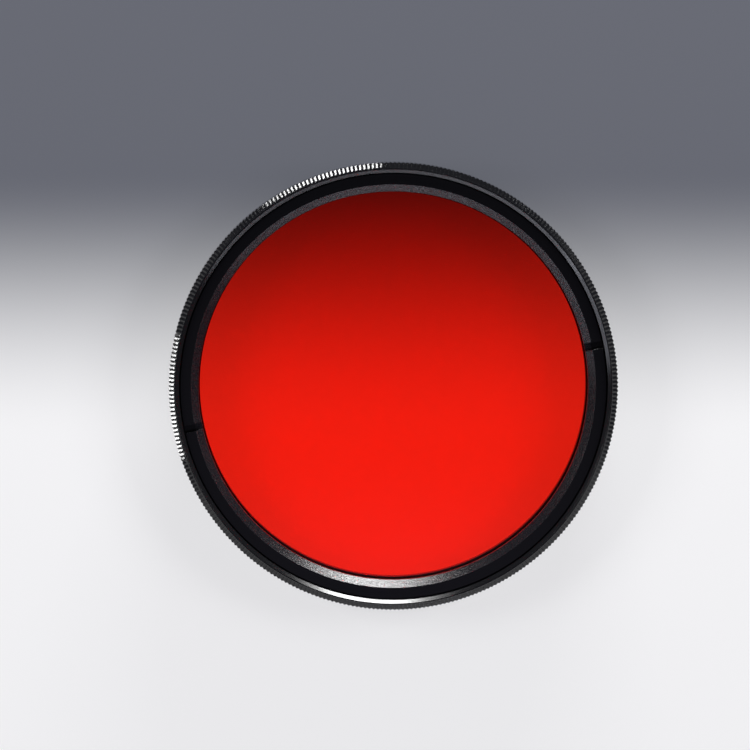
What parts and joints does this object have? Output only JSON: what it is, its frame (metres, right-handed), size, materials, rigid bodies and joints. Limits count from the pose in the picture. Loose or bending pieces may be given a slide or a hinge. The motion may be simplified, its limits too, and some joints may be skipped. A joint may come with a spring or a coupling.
{
  "type": "optical filter",
  "caption": "Round screw-in red glass filter in a knurled black metal rim, held by a slotted retaining ring.",
  "frame": {"origin": "centre of the rear face, on the optical axis, on the surface that the filter lies on", "axes": "+Z along the optical axis, out of the front of the filter; +Y and +X are up and right in the picture"},
  "size_m": [0.054, 0.054, 0.0064],
  "materials": {
    "anodised_rim": "black anodised, semi-gloss, turned and knurled",
    "red_glass": "polished on both faces, dyed deep red",
    "anodised_retainer": "black anodised, fine matt blast"
  },
  "bodies": {
    "root": {"mount_ring": "anodised_rim", "filter_glass": "red_glass", "retaining_ring": "anodised_retainer"}
  },
  "joints": []
}
